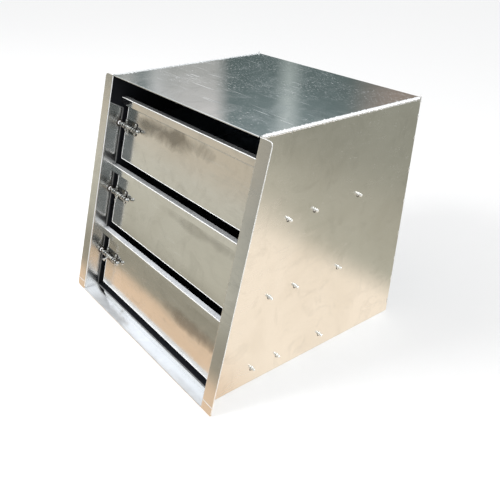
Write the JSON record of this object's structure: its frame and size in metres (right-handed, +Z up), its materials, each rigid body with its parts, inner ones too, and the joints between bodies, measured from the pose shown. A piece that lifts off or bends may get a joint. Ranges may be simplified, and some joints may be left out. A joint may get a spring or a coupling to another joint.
{
  "type": "three-drawer nesting box",
  "caption": "Slant-fronted folded metal nesting box: nest drawers on telescopic slides, each locked by a barrel bolt, with side flanges for fastening it in an opening.",
  "frame": {"origin": "middle of the object's box at floor level", "axes": "+X to the right facing the drawers, +Y to the back panel, +Z up; the drawers pull out along -Y"},
  "size_m": [0.66, 0.63, 0.6],
  "materials": {
    "cabinet_sheet": "bare rolled sheet, satin with fine scratches",
    "drawer_sheet": "bare rolled sheet, satin",
    "slide_steel": "zinc plated",
    "rivet_aluminium": "bright",
    "latch_chrome": "bright plated"
  },
  "bodies": {
    "cabinet": {"top_panel": "cabinet_sheet", "back_panel": "cabinet_sheet", "floor_panel": "cabinet_sheet", "weld_left": "cabinet_sheet", "weld_right": "cabinet_sheet", "side_panel_left": "cabinet_sheet", "side_panel_right": "cabinet_sheet", "rail_bottom": "cabinet_sheet", "slide_outer_bottom_left": "slide_steel", "rivet_bottom_left_1": "rivet_aluminium", "rivet_bottom_left_2": "rivet_aluminium", "rivet_bottom_left_3": "rivet_aluminium", "slide_outer_bottom_right": "slide_steel", "rivet_bottom_right_1": "rivet_aluminium", "rivet_bottom_right_2": "rivet_aluminium", "rivet_bottom_right_3": "rivet_aluminium", "rail_middle": "cabinet_sheet", "slide_outer_middle_left": "slide_steel", "rivet_middle_left_1": "rivet_aluminium", "rivet_middle_left_2": "rivet_aluminium", "rivet_middle_left_3": "rivet_aluminium", "slide_outer_middle_right": "slide_steel", "rivet_middle_right_1": "rivet_aluminium", "rivet_middle_right_2": "rivet_aluminium", "rivet_middle_right_3": "rivet_aluminium", "rail_top": "cabinet_sheet", "slide_outer_top_left": "slide_steel", "rivet_top_left_1": "rivet_aluminium", "rivet_top_left_2": "rivet_aluminium", "rivet_top_left_3": "rivet_aluminium", "slide_outer_top_right": "slide_steel", "rivet_top_right_1": "rivet_aluminium", "rivet_top_right_2": "rivet_aluminium", "rivet_top_right_3": "rivet_aluminium"},
    "drawer_bottom": {"drawer_face_bottom": "drawer_sheet", "drawer_tray_bottom": "drawer_sheet", "slide_inner_bottom_left": "slide_steel", "slide_inner_bottom_right": "slide_steel", "latch_plate_bottom": "latch_chrome"},
    "slide_bottom_left": {"slide_middle_bottom_left": "slide_steel"},
    "slide_bottom_right": {"slide_middle_bottom_right": "slide_steel"},
    "bolt_bottom": {"latch_bolt_bottom": "latch_chrome"},
    "drawer_middle": {"drawer_face_middle": "drawer_sheet", "drawer_tray_middle": "drawer_sheet", "slide_inner_middle_left": "slide_steel", "slide_inner_middle_right": "slide_steel", "latch_plate_middle": "latch_chrome"},
    "slide_middle_left": {"slide_middle_middle_left": "slide_steel"},
    "slide_middle_right": {"slide_middle_middle_right": "slide_steel"},
    "bolt_middle": {"latch_bolt_middle": "latch_chrome"},
    "drawer_top": {"drawer_face_top": "drawer_sheet", "drawer_tray_top": "drawer_sheet", "slide_inner_top_left": "slide_steel", "slide_inner_top_right": "slide_steel", "latch_plate_top": "latch_chrome"},
    "slide_top_left": {"slide_middle_top_left": "slide_steel"},
    "slide_top_right": {"slide_middle_top_right": "slide_steel"},
    "bolt_top": {"latch_bolt_top": "latch_chrome"}
  },
  "joints": [
    {"name": "slide_bottom_left_run", "type": "slide", "parent": "cabinet", "child": "slide_bottom_left", "axis": [0, -1, 0], "range_m": [0, 0.18]},
    {"name": "slide_bottom_right_run", "type": "slide", "parent": "cabinet", "child": "slide_bottom_right", "axis": [0, -1, 0], "range_m": [0, 0.18]},
    {"name": "drawer_bottom_pull", "type": "slide", "parent": "cabinet", "child": "drawer_bottom", "axis": [0, -1, 0], "range_m": [0, 0.36]},
    {"name": "bolt_bottom_shoot", "type": "slide", "parent": "drawer_bottom", "child": "bolt_bottom", "axis": [-1, 0, 0], "range_m": [-0.013, 0.01]},
    {"name": "slide_middle_left_run", "type": "slide", "parent": "cabinet", "child": "slide_middle_left", "axis": [0, -1, 0], "range_m": [0, 0.18]},
    {"name": "slide_middle_right_run", "type": "slide", "parent": "cabinet", "child": "slide_middle_right", "axis": [0, -1, 0], "range_m": [0, 0.18]},
    {"name": "drawer_middle_pull", "type": "slide", "parent": "cabinet", "child": "drawer_middle", "axis": [0, -1, 0], "range_m": [0, 0.36]},
    {"name": "bolt_middle_shoot", "type": "slide", "parent": "drawer_middle", "child": "bolt_middle", "axis": [-1, 0, 0], "range_m": [-0.013, 0.01]},
    {"name": "slide_top_left_run", "type": "slide", "parent": "cabinet", "child": "slide_top_left", "axis": [0, -1, 0], "range_m": [0, 0.18]},
    {"name": "slide_top_right_run", "type": "slide", "parent": "cabinet", "child": "slide_top_right", "axis": [0, -1, 0], "range_m": [0, 0.18]},
    {"name": "drawer_top_pull", "type": "slide", "parent": "cabinet", "child": "drawer_top", "axis": [0, -1, 0], "range_m": [0, 0.36]},
    {"name": "bolt_top_shoot", "type": "slide", "parent": "drawer_top", "child": "bolt_top", "axis": [-1, 0, 0], "range_m": [-0.013, 0.01]}
  ],
  "couplings": [
    {"joint": "slide_bottom_left_run", "follows": "drawer_bottom_pull", "ratio": 0.5},
    {"joint": "slide_bottom_right_run", "follows": "drawer_bottom_pull", "ratio": 0.5},
    {"joint": "slide_middle_left_run", "follows": "drawer_middle_pull", "ratio": 0.5},
    {"joint": "slide_middle_right_run", "follows": "drawer_middle_pull", "ratio": 0.5},
    {"joint": "slide_top_left_run", "follows": "drawer_top_pull", "ratio": 0.5},
    {"joint": "slide_top_right_run", "follows": "drawer_top_pull", "ratio": 0.5}
  ]
}
